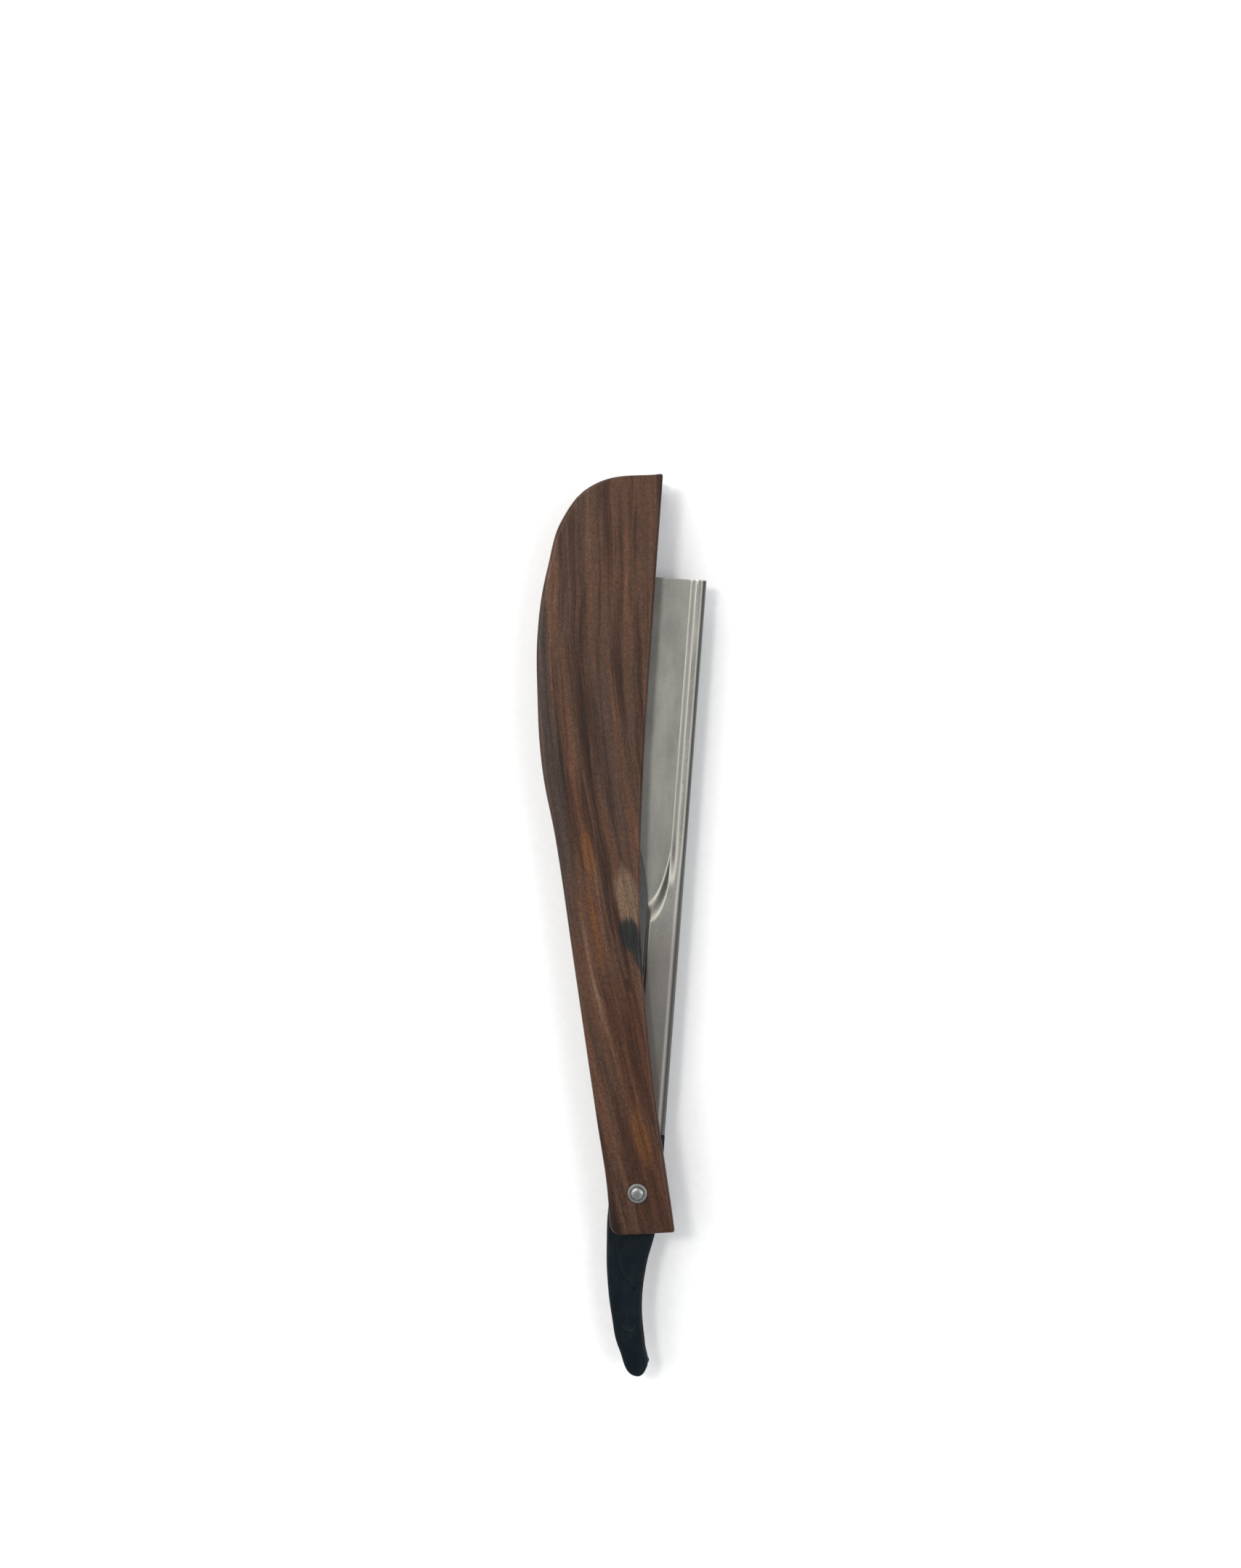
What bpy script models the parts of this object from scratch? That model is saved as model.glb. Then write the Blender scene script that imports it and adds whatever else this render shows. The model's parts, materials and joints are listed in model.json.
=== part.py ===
"""Straight razor with a replaceable half blade, lying on its side.

The pivot axis is parallel to Z and passes through the origin, which is the flat end of the
rivet's rear head. Y runs along the handle from the pivot to the nose, X across it towards the
side that the razor opens on, and Z from the rear scale to the front scale.
The arm, its steel blade holder and the half blade are drawn upright in the arm's own frame and
hang under an empty on the pivot axis, which leans them out of the handle.
"""

from math import cos, pi, radians, sin, sqrt

import bmesh
import bpy

# Handle
HANDLE_REACH = 0.1415  # pivot to the nose
HANDLE_FOOT = 0.0078  # pivot to the foot's sharp corner
BELLY_DEPTH = 0.0197  # pivot line to the widest point of the back
SCALE_THICKNESS = 0.0036
SLOT_WIDTH = 0.0046  # between the two scales
SCALE_ROUNDING = 0.0009
SPACER_FOOT = 0.68  # lowest point of the nose spacer, as a share of the reach

# Rivet and washers
PIN_DIAMETER = 0.0020
HEAD_DIAMETER = 0.0026
HEAD_HEIGHT = 0.0006
HEAD_FLAT = 0.0014  # diameter of the flat on each head
RIVET_WASHER_DIAMETER = 0.0039
RIVET_WASHER_THICKNESS = 0.0004
RIVET_WASHER_SEAT = 0.0002  # how deep a washer sits in its scale
THRUST_WASHER_DIAMETER = 0.0080
THRUST_WASHER_THICKNESS = 0.0003

# Arm, in its own frame: x across towards the spine, y from the pivot towards the blade
REST_LEAN = radians(4.32)
TAIL_LENGTH = 0.0371
SHANK_START = 0.0110  # where the steel holder begins
SPINE_OFFSET = 0.0047
SHANK_WIDTH = 0.0068
TONGUE_MARGIN = 0.0010  # from the tongue's end to where the shank is pressed down
TAIL_EDGE = 0.0004  # chamfer of the moulded edges
RECESS_DEPTH = 0.0004
DOT_DIAMETER = 0.0031  # round recess near the tail's end
DOT_ACROSS = 0.0003
DOT_SHARE = 0.725  # of the tail's length

# Blade holder, folded from one sheet
HOLDER_END = 0.1215  # pivot to the open tip
SHEET = 0.0005
BLADE_SLOT = 0.0003  # between the two leaves
HOLDER_WIDTH = 0.0130
BEAD_THICKNESS = 0.0024
BEAD_WIDTH = 0.00185
VALLEY_WIDTH = 0.00125
LIP_RADIUS = 0.0008
SEAM_GAP = 0.0012  # between the curled edges under the shank
PRESS_START = 0.0530  # where the sheet dips from the shank to the leaves, at its free edge
PRESS_RAMP = 0.0035  # length of the dip
PRESS_SLANT = 0.0030  # how much further on it starts towards the spine
PRESS_CURL = 0.0045  # and how far it curls up beside the bead
BEAD_TAPER = 0.0200  # length over which the bead thins from the shank
HEEL_START = 0.0560  # where the leaves begin to widen
HEEL_LENGTH = 0.0250
TIP_RADIUS = 0.0010

# Half blade
BLADE_LENGTH = 0.0430
BLADE_WIDTH = 0.0110
BLADE_THICKNESS = 0.0001
BLADE_EXPOSURE = 0.0018  # past the edges of the leaves
BLADE_TIP_MARGIN = 0.0015  # blade's end to the holder's tip
TAB_LENGTH = 0.0028
TAB_INSET = 0.0012
KEY_HALF_WIDTH = 0.0014  # half of the slot that a whole blade has down its middle
KEY_LENGTH = 0.0330

# Clearances
CONTACT_GAP = 0.0001  # between pieces that touch
BORE_CLEARANCE = 0.0001  # around the pin

# Sizes that follow from the ones above
ARM_THICKNESS = SLOT_WIDTH - 2 * (THRUST_WASHER_THICKNESS + 2 * CONTACT_GAP)
BORE_RADIUS = PIN_DIAMETER / 2 + BORE_CLEARANCE
SHANK_EDGE = SPINE_OFFSET - SHANK_WIDTH
HOLDER_EDGE = SPINE_OFFSET - HOLDER_WIDTH
LEAF_HEIGHT = SHEET + BLADE_SLOT / 2
TONGUE_END = PRESS_START - TONGUE_MARGIN
BLADE_EDGE = HOLDER_EDGE - BLADE_EXPOSURE
SEAT_HEIGHT = SLOT_WIDTH / 2 + SCALE_THICKNESS - RIVET_WASHER_SEAT + CONTACT_GAP
HEAD_BASE = SEAT_HEIGHT + RIVET_WASHER_THICKNESS + CONTACT_GAP
MID_HEIGHT = HEAD_BASE + HEAD_HEIGHT

ROUND_STEPS = 36
OUTLINE_STEPS = 8

# The handle's edges between nose and foot, as (share of the reach, distance across)
OPEN_EDGE = ((0.79, 0.0030), (0.54, 0.0009), (0.36, 0.0007), (0.18, 0.0028))
OPEN_NOSE_CORNER = 0.0051
OPEN_FOOT_CORNER = 0.0074
# The back, as (share of the reach, share of the belly)
BACK_EDGE = (
    (0.012, 0.307),
    (0.097, 0.400),
    (0.325, 0.640),
    (0.490, 0.815),
    (0.590, 0.950),
    (0.690, 0.998),
    (0.790, 0.990),
    (0.870, 0.895),
    (0.940, 0.735),
    (0.985, 0.430),
)
# The foot's edge slants from the open side to a rounded corner at the back
FOOT_BACK = 0.0054
FOOT_RADIUS = 0.0023
FOOT_SLANT = 0.0006

# Half of the tail's outline each side, as (share of the tail's length, distance across)
TAIL_SPINE_SIDE = ((0.945, 0.0046), (0.83, 0.0039), (0.62, 0.0027), (0.40, 0.0030), (0.21, 0.0043))
TAIL_EDGE_SIDE = ((0.12, -0.0054), (0.30, -0.0052), (0.48, -0.0046), (0.68, -0.0032), (0.86, -0.0012))
TAIL_TIP = 0.0027
EYE_SIDE = 0.0045  # half width of the eye towards the shank

# The pointed recess in the tail: two corners under the handle's foot, one at its point
PANEL_TOP = ((-0.0038, -0.0075), (0.0017, -0.0075))
PANEL_SPINE_SIDE = (0.0013, -0.0140)
PANEL_POINT = (0.0010, -0.0200)
PANEL_EDGE_SIDE = ((-0.0019, -0.0165), (-0.0034, -0.0120))


def smoothstep(value, start, end):
    share = min(max((value - start) / (end - start), 0.0), 1.0)
    return share * share * (3 - 2 * share)


def mix(first, second, share):
    return first + (second - first) * share


def smooth(points):
    """Outline points with a curve on both sides; a point is (x, y, handle before, handle after)."""
    return [(x, y, "AUTO", "AUTO") for x, y in points]


def corners(points):
    return [(x, y, "VECTOR", "VECTOR") for x, y in points]


def straight_then_smooth(x, y):
    return [(x, y, "VECTOR", "AUTO")]


def new_collection(name):
    collection = bpy.data.collections.new(name)
    bpy.context.scene.collection.children.link(collection)
    return collection


def move_to(item, collection):
    for owner in list(item.users_collection):
        owner.objects.unlink(item)
    collection.objects.link(item)


def new_material(name, colour, roughness, metallic=0.0):
    material = bpy.data.materials.new(name)
    material.use_nodes = True
    shader = material.node_tree.nodes["Principled BSDF"]
    shader.inputs["Base Color"].default_value = (*colour, 1.0)
    shader.inputs["Roughness"].default_value = roughness
    shader.inputs["Metallic"].default_value = metallic
    return material


def new_object(name, mesh):
    item = bpy.data.objects.new(name, mesh)
    parts.objects.link(item)
    return item


def finish_piece(item, material, smooth_angle=30):
    item.data.materials.clear()
    item.data.materials.append(material)
    item.data.shade_smooth()
    item.data.set_sharp_from_angle(angle=radians(smooth_angle))
    return item


def outline_plate(name, outline, thickness):
    """A flat plate centred on z = 0 whose outline runs through the given points."""
    curve = bpy.data.curves.new(name, "CURVE")
    curve.dimensions = "2D"
    curve.fill_mode = "BOTH"
    curve.extrude = thickness / 2
    curve.resolution_u = OUTLINE_STEPS
    spline = curve.splines.new("BEZIER")
    spline.bezier_points.add(len(outline) - 1)
    spline.use_cyclic_u = True
    for point, (x, y, before, after) in zip(spline.bezier_points, outline):
        point.co = (x, y, 0)
        point.handle_left_type = before
        point.handle_right_type = after
    drawing = new_object(name + "_outline", curve)
    evaluated = drawing.evaluated_get(bpy.context.evaluated_depsgraph_get())
    mesh = bpy.data.meshes.new_from_object(evaluated)
    mesh.name = name
    mesh.materials.clear()
    bpy.data.objects.remove(drawing)
    work = bmesh.new()
    work.from_mesh(mesh)
    bmesh.ops.remove_doubles(work, verts=work.verts, dist=1e-6)
    flat = radians(0.05)
    bmesh.ops.dissolve_limit(work, angle_limit=flat, verts=work.verts, edges=work.edges)
    work.to_mesh(mesh)
    work.free()
    return new_object(name, mesh)


def turned(name, profile, closed):
    """A shape turned about Z from (radius, height) points that run down its outer side."""
    mesh = bpy.data.meshes.new(name)
    ends = range(len(profile)) if closed else range(len(profile) - 1)
    edges = [(i, (i + 1) % len(profile)) for i in ends]
    mesh.from_pydata([(radius, 0, height) for radius, height in profile], edges, [])
    item = new_object(name, mesh)
    screw = item.modifiers.new("Turn", "SCREW")
    screw.steps = ROUND_STEPS
    screw.render_steps = ROUND_STEPS
    screw.use_merge_vertices = True
    screw.merge_threshold = 1e-6
    screw.use_smooth_shade = True
    return item


def ring(name, inner, outer, thickness, chamfer):
    half = thickness / 2
    profile = [
        (outer - chamfer, half),
        (outer, half - chamfer),
        (outer, -half + chamfer),
        (outer - chamfer, -half),
        (inner, -half),
        (inner, half),
    ]
    return turned(name, profile, closed=True)


def as_cutter(item):
    move_to(item, cutters)
    item.hide_render = True
    item.display_type = "WIRE"
    return item


def round_cutter(name, radius, depth, location):
    bpy.ops.mesh.primitive_cylinder_add(
        vertices=ROUND_STEPS, radius=radius, depth=depth, location=location
    )
    item = bpy.context.object
    item.name = name
    return as_cutter(item)


def apply_boolean(item, tool, operation):
    boolean = item.modifiers.new(tool.name, "BOOLEAN")
    boolean.operation = operation
    boolean.object = tool


def handle_outline():
    nose_to_foot = [(across, share * HANDLE_REACH) for share, across in OPEN_EDGE]
    foot_to_nose = [(-across * BELLY_DEPTH, share * HANDLE_REACH) for share, across in BACK_EDGE]
    centre_x = FOOT_RADIUS - FOOT_BACK
    centre_y = FOOT_RADIUS - HANDLE_FOOT - FOOT_SLANT
    turns = [pi * (1.5 - step / 4) for step in range(3)]
    foot_corner = [
        (centre_x + FOOT_RADIUS * cos(turn), centre_y + FOOT_RADIUS * sin(turn)) for turn in turns
    ]
    return [
        *corners([(OPEN_NOSE_CORNER, HANDLE_REACH)]),
        *smooth(nose_to_foot),
        *corners([(OPEN_FOOT_CORNER, -HANDLE_FOOT)]),
        *straight_then_smooth(*foot_corner[0]),
        *smooth(foot_corner[1:]),
        *smooth(foot_to_nose),
    ]


def scale(name, side):
    """One wooden half of the handle; side is 1 for the front and -1 for the rear."""
    item = outline_plate(name, handle_outline(), SCALE_THICKNESS)
    work = bmesh.new()
    work.from_mesh(item.data)
    weight = work.edges.layers.float.new("bevel_weight_edge")
    for edge in work.edges:
        if all(vert.co.z * side > 0 for vert in edge.verts):
            edge[weight] = 1.0
    work.to_mesh(item.data)
    work.free()
    item.location.z = MID_HEIGHT + side * (SLOT_WIDTH + SCALE_THICKNESS) / 2
    bevel = item.modifiers.new("Rounded rim", "BEVEL")
    bevel.limit_method = "WEIGHT"
    bevel.width = SCALE_ROUNDING
    bevel.segments = 4
    outer_face = MID_HEIGHT + side * (SLOT_WIDTH / 2 + SCALE_THICKNESS)
    bore = round_cutter(name + "_bore", BORE_RADIUS, 2 * SCALE_THICKNESS, item.location)
    seat = round_cutter(
        name + "_seat",
        RIVET_WASHER_DIAMETER / 2 + BORE_CLEARANCE,
        2 * RIVET_WASHER_SEAT,
        (0, 0, outer_face),
    )
    apply_boolean(item, bore, "DIFFERENCE")
    apply_boolean(item, seat, "DIFFERENCE")
    return finish_piece(item, wood)


def nose_spacer():
    """The wedge glued between the scales, on the back of the nose, clear of the blade's path."""
    thickness = SLOT_WIDTH - 2 * CONTACT_GAP
    item = outline_plate("nose_spacer", handle_outline(), thickness)
    item.location.z = MID_HEIGHT
    foot = SPACER_FOOT * HANDLE_REACH
    wedge = corners([(BLADE_EDGE, 1.1 * HANDLE_REACH), (-2 * BELLY_DEPTH, 1.1 * HANDLE_REACH)])
    wedge += corners([(-2 * BELLY_DEPTH, foot), (-BELLY_DEPTH, foot)])
    wedge += smooth([(mix(-BELLY_DEPTH, BLADE_EDGE, 0.75), mix(foot, HANDLE_REACH, 0.45))])
    keep = as_cutter(outline_plate("nose_spacer_shape", wedge, 2 * thickness))
    keep.location.z = MID_HEIGHT
    apply_boolean(item, keep, "INTERSECT")
    return finish_piece(item, wood)


def pivot_pin():
    """The rivet, with a domed head at each end; its rear head's flat is the origin."""
    radius = PIN_DIAMETER / 2
    head = HEAD_DIAMETER / 2
    dome = [
        (0, MID_HEIGHT),
        (HEAD_FLAT / 2, MID_HEIGHT),
        (mix(HEAD_FLAT / 2, head, 0.7), MID_HEIGHT - 0.25 * HEAD_HEIGHT),
        (head, MID_HEIGHT - 0.7 * HEAD_HEIGHT),
        (head, HEAD_BASE),
        (radius, HEAD_BASE),
    ]
    profile = dome + [(across, -height) for across, height in reversed(dome)]
    item = turned("pivot_pin", profile, closed=False)
    item.location.z = MID_HEIGHT
    return finish_piece(item, rivet_metal)


def rivet_washer(name, side):
    outer = RIVET_WASHER_DIAMETER / 2
    item = ring(name, BORE_RADIUS, outer, RIVET_WASHER_THICKNESS, RIVET_WASHER_THICKNESS / 4)
    item.location.z = MID_HEIGHT + side * (SEAT_HEIGHT + RIVET_WASHER_THICKNESS / 2)
    return finish_piece(item, rivet_metal)


def thrust_washer(name, side):
    outer = THRUST_WASHER_DIAMETER / 2
    item = ring(name, BORE_RADIUS, outer, THRUST_WASHER_THICKNESS, THRUST_WASHER_THICKNESS / 5)
    inset = CONTACT_GAP + THRUST_WASHER_THICKNESS / 2
    item.location.z = MID_HEIGHT + side * (SLOT_WIDTH / 2 - inset)
    return finish_piece(item, nylon)


def tongue():
    """The part of the arm that the steel shank grips."""
    gap = SHEET + CONTACT_GAP
    width = SHANK_WIDTH - 2 * gap
    thickness = ARM_THICKNESS - 2 * gap
    start = SHANK_START / 2
    bpy.ops.mesh.primitive_cube_add(size=1)
    item = bpy.context.object
    item.name = "tongue"
    item.scale = (width, TONGUE_END - start, thickness)
    bpy.ops.object.transform_apply(location=False, rotation=False, scale=True)
    item.location = (SPINE_OFFSET - gap - width / 2, (start + TONGUE_END) / 2, 0)
    bevel = item.modifiers.new("Rounded sides", "BEVEL")
    bevel.width = thickness * 0.47
    bevel.segments = 3
    return as_cutter(item)


def tail_recesses(side):
    """Sunk panels on one face of the tail: a long pointed one and a round one."""
    height = side * ARM_THICKNESS / 2
    panel = outline_plate(
        "tail_panel",
        [
            *corners(PANEL_TOP),
            *smooth([PANEL_SPINE_SIDE]),
            *corners([PANEL_POINT]),
            *smooth(PANEL_EDGE_SIDE),
        ],
        2 * RECESS_DEPTH,
    )
    panel.location.z = height
    dot_place = (DOT_ACROSS, -DOT_SHARE * TAIL_LENGTH, height)
    dot = round_cutter("tail_dot", DOT_DIAMETER / 2, 2 * RECESS_DEPTH, dot_place)
    return [as_cutter(panel), dot]


def arm(pivot):
    """The moulded arm: tail, eye on the rivet and the tongue inside the steel shank."""
    shank_edge = SHANK_EDGE + SHEET
    tail_up = [(across, -share * TAIL_LENGTH) for share, across in TAIL_SPINE_SIDE]
    tail_down = [(across, -share * TAIL_LENGTH) for share, across in TAIL_EDGE_SIDE]
    outline = [
        *smooth([(TAIL_TIP, -TAIL_LENGTH)]),
        *smooth(tail_up),
        *smooth([(SPINE_OFFSET, 0.0)]),
        *corners([(SPINE_OFFSET, SHANK_START - CONTACT_GAP)]),
        *corners([(shank_edge, SHANK_START - CONTACT_GAP)]),
        *smooth([(-EYE_SIDE, 0.4 * SHANK_START)]),
        *smooth(tail_down),
    ]
    item = outline_plate("arm", outline, ARM_THICKNESS)
    item.parent = pivot
    bevel = item.modifiers.new("Moulded edges", "BEVEL")
    bevel.width = TAIL_EDGE
    bevel.segments = 2
    bevel.limit_method = "ANGLE"
    bevel.angle_limit = radians(60)
    tools = [tongue(), *tail_recesses(1), *tail_recesses(-1)]
    tools.append(round_cutter("eye_bore", BORE_RADIUS, 2 * ARM_THICKNESS, (0, 0, 0)))
    for number, tool in enumerate(tools):
        tool.parent = pivot
        apply_boolean(item, tool, "UNION" if number == 0 else "DIFFERENCE")
    return finish_piece(item, black_plastic)


def half_section(y):
    """Front half of the holder's outer surface at y, from the free edge to the spine."""
    shank_height = ARM_THICKNESS / 2
    widened = smoothstep(y, HEEL_START, HEEL_START + HEEL_LENGTH)
    thinned = smoothstep(y, PRESS_START, PRESS_START + BEAD_TAPER)
    bead = mix(shank_height, BEAD_THICKNESS / 2, thinned)
    valley_end = SPINE_OFFSET - BEAD_WIDTH
    valley_start = valley_end - VALLEY_WIDTH
    from_tip = max(y - (HOLDER_END - TIP_RADIUS), 0.0)
    tip_inset = TIP_RADIUS - sqrt(max(TIP_RADIUS**2 - from_tip**2, 0.0))

    def pressed(x):
        """How far the sheet is pressed flat at x; the dip runs on a curve across the sheet."""
        across = min(max((x - SHANK_EDGE) / (valley_start - SHANK_EDGE), 0.0), 1.0)
        start = PRESS_START + PRESS_SLANT * across + PRESS_CURL * across**4
        return smoothstep(y, start, start + PRESS_RAMP)

    lip = [(SHANK_EDGE, SEAM_GAP / 2)]
    for step in range(3):
        angle = pi - step * pi / 4
        x = SHANK_EDGE + LIP_RADIUS * (1 + cos(angle))
        lip.append((x, shank_height + LIP_RADIUS * (sin(angle) - 1)))
    leaf_start = HOLDER_EDGE + tip_inset
    flat_start = lip[-1][0]
    points = []
    for number, (x, z) in enumerate(lip):
        leaf_x = mix(leaf_start, flat_start, number / (len(lip) - 1))
        points.append((mix(x, leaf_x, widened), mix(z, LEAF_HEIGHT, pressed(x))))
    flats = 6
    for step in range(1, flats + 1):
        x = mix(valley_start, flat_start, (1 - step / flats) ** 2)
        points.append((x, mix(bead, LEAF_HEIGHT, pressed(x))))
    slopes = 3
    for step in range(1, slopes + 1):
        x = mix(valley_start, valley_end, step / slopes)
        valley = mix(LEAF_HEIGHT, bead, smoothstep(step, 0, slopes))
        points.append((x, mix(bead, valley, pressed(x))))
    turns = 7
    for step in range(turns + 1):
        angle = pi / 2 * (1 - step / turns)
        points.append((SPINE_OFFSET - bead * (1 - cos(angle)), bead * sin(angle)))
    return points


def blade_holder(pivot):
    """One sheet folded round the spine: a tube on the tongue, then two leaves that grip the blade."""
    heel_end = HEEL_START + HEEL_LENGTH
    heel_steps = 24
    heel_rows = [mix(PRESS_START, heel_end, step / heel_steps) for step in range(heel_steps + 1)]
    tip_rows = [HOLDER_END - TIP_RADIUS * (1 - sin(pi / 6 * step)) for step in range(4)]
    rows = [SHANK_START, *heel_rows, *tip_rows]
    work = bmesh.new()
    sections = [[work.verts.new((x, y, z)) for x, z in half_section(y)] for y in rows]
    for lower, upper in zip(sections, sections[1:]):
        for column in range(len(lower) - 1):
            work.faces.new((lower[column], lower[column + 1], upper[column + 1], upper[column]))
    mesh = bpy.data.meshes.new("blade_holder")
    work.to_mesh(mesh)
    work.free()
    item = new_object("blade_holder", mesh)
    item.parent = pivot
    mirror = item.modifiers.new("Rear half", "MIRROR")
    mirror.use_axis = (False, False, True)
    mirror.merge_threshold = 1e-6
    sheet = item.modifiers.new("Sheet", "SOLIDIFY")
    sheet.thickness = SHEET
    sheet.offset = -1
    sheet.use_even_offset = True
    return finish_piece(item, steel)


def half_blade(pivot):
    """Half of a double-edged blade, snapped along the keyed slot in its middle."""
    back = BLADE_EDGE + BLADE_WIDTH
    high = HOLDER_END - BLADE_TIP_MARGIN
    middle = high - BLADE_LENGTH / 2
    key = KEY_LENGTH / 2
    half_outline = [
        (BLADE_EDGE, BLADE_LENGTH / 2 - TAB_LENGTH),
        (BLADE_EDGE + TAB_INSET, BLADE_LENGTH / 2 - TAB_LENGTH),
        (BLADE_EDGE + TAB_INSET, BLADE_LENGTH / 2),
        (back, BLADE_LENGTH / 2),
        (back, key),
        (back - KEY_HALF_WIDTH, key),
        (back - KEY_HALF_WIDTH, key / 4),
        (back - 2 * KEY_HALF_WIDTH, key / 4),
    ]
    upper = [(x, middle + y) for x, y in half_outline]
    lower = [(x, middle - y) for x, y in reversed(half_outline)]
    item = outline_plate("half_blade", corners(upper + lower), BLADE_THICKNESS)
    item.parent = pivot
    return finish_piece(item, blade_steel)


for item in list(bpy.data.objects):
    bpy.data.objects.remove(item, do_unlink=True)

parts = new_collection("straight_razor")
cutters = new_collection("cutters")

wood = new_material("rosewood", (0.085, 0.035, 0.020), 0.45)
steel = new_material("brushed_steel", (0.45, 0.44, 0.41), 0.35, 1.0)
blade_steel = new_material("blade_steel", (0.62, 0.63, 0.65), 0.22, 1.0)
rivet_metal = new_material("rivet_aluminium", (0.50, 0.51, 0.50), 0.38, 1.0)
black_plastic = new_material("black_plastic", (0.006, 0.010, 0.013), 0.35)
nylon = new_material("nylon", (0.75, 0.73, 0.66), 0.5)

scale("front_scale", 1)
scale("rear_scale", -1)
nose_spacer()
pivot_pin()
rivet_washer("front_rivet_washer", 1)
rivet_washer("rear_rivet_washer", -1)
thrust_washer("front_thrust_washer", 1)
thrust_washer("rear_thrust_washer", -1)

arm_pivot = bpy.data.objects.new("arm_pivot", None)
parts.objects.link(arm_pivot)
arm_pivot.location.z = MID_HEIGHT
arm_pivot.rotation_euler.z = -REST_LEAN
arm(arm_pivot)
blade_holder(arm_pivot)
half_blade(arm_pivot)
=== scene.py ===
"""Looks of the straight razor: fine meshes on the CAD frame, materials, floor, lights and camera.

Handle pieces are drawn in the row frame: the pivot axis is parallel to Z through the origin and Y
runs up the handle. The arm, holder and blade are drawn in the arm's own frame, which leans with
them: x across towards the spine, y from the pivot towards the blade, z = 0 in the middle plane.
"""

import json

from math import atan2, ceil, cos, pi, radians, sin, sqrt, tan

import bmesh
import bpy
from mathutils import Matrix, Vector, kdtree, noise
from mathutils.geometry import delaunay_2d_cdt


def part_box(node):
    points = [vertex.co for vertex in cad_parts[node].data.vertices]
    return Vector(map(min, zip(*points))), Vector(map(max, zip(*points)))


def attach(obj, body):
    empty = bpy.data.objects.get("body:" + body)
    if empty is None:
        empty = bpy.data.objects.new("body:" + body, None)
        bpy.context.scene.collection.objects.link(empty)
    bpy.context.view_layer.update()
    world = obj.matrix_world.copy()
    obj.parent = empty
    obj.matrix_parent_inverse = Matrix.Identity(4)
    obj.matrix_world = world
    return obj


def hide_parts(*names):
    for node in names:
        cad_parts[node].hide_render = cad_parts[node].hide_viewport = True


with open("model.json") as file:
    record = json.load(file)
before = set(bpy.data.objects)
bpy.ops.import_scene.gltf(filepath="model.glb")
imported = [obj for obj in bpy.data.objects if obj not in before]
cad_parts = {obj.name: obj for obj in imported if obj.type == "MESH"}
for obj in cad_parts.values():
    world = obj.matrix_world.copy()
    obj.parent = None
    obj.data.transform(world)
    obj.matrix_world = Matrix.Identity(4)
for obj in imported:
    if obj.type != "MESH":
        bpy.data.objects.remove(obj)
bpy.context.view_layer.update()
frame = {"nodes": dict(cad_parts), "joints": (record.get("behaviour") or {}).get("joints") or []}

MM = 0.001

# Where the frame puts things
front_low, front_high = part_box("front_scale")
rear_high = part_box("rear_scale")[1]
spacer_low, spacer_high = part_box("nose_spacer")
pin_low, pin_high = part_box("pivot_pin")
MID_HEIGHT = (front_low.z + rear_high.z) / 2
HANDLE_REACH = front_high.y
BELLY_DEPTH = 19.7 * MM
slide = next(joint for joint in frame["joints"] if joint["name"] == "blade_slide")
ARM_UP = Vector(slide["axis"]).normalized()
ARM_TURN = Matrix(((ARM_UP.y, ARM_UP.x, 0), (-ARM_UP.x, ARM_UP.y, 0), (0, 0, 1)))
ARM_FRAME = Matrix.Translation((0, 0, MID_HEIGHT)) @ ARM_TURN.to_4x4()


def arm_box(node):
    """A CAD node's lowest and highest corners in the arm's frame."""
    to_arm = ARM_FRAME.inverted()
    points = [to_arm @ vertex.co for vertex in frame["nodes"][node].data.vertices]
    return Vector(map(min, zip(*points))), Vector(map(max, zip(*points)))


arm_low, arm_high = arm_box("arm")
holder_low, holder_high = arm_box("blade_holder")
blade_low, blade_high = arm_box("half_blade")
ARM_THICKNESS = arm_high.z - arm_low.z
TAIL_LENGTH = 37.1 * MM
TONGUE_END = arm_high.y
SHANK_START = holder_low.y
SPINE_OFFSET = holder_high.x
HOLDER_EDGE = holder_low.x
HOLDER_END = holder_high.y

# Clearances and sheet, as the CAD has them
CONTACT_GAP = 0.1 * MM
SHEET = 0.5 * MM

# Handle outline, as shares of the reach and of the belly
OPEN_EDGE = ((0.79, 3.0 * MM), (0.54, 0.9 * MM), (0.36, 0.7 * MM), (0.18, 2.8 * MM))
OPEN_NOSE_CORNER = 5.1 * MM
OPEN_FOOT_CORNER = 7.4 * MM
HANDLE_FOOT = 7.8 * MM
BACK_EDGE = (
    (0.012, 0.307),
    (0.097, 0.400),
    (0.325, 0.640),
    (0.490, 0.815),
    (0.590, 0.950),
    (0.690, 0.998),
    (0.790, 0.990),
    (0.870, 0.895),
    (0.940, 0.735),
    (0.985, 0.430),
)
FOOT_BACK = 5.4 * MM
FOOT_RADIUS = 2.3 * MM
FOOT_SLANT = 0.6 * MM
SCALE_CORNER = 0.45 * MM  # radius of the scales' two sharp corners in plan
SCALE_RIM = (0.85 * MM, 0.80 * MM, 8)  # inset, drop and steps of the rounded outer rim
INNER_RIM = (0.15 * MM, 0.15 * MM, 2)

# Rivet
DOME_STEPS = 12
DOME_SPREAD = 0.80  # under 1 the dome stays broad near its top
DOME_FLATNESS = 0.75  # under 1 its sides fall away later
DOME_SHARE = 0.72  # of the head's height that is domed
DENT_DEPTH = 0.06 * MM
DENTS_PER_METRE = (1150.0, 2600.0)  # coarse and fine hammer marks
PIN_RADIUS = 1.0 * MM
BORE_RADIUS = 1.1 * MM
HEAD_RADIUS = 1.3 * MM
HEAD_HEIGHT = 0.6 * MM
SEAT_CLEARANCE = 0.1 * MM

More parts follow.
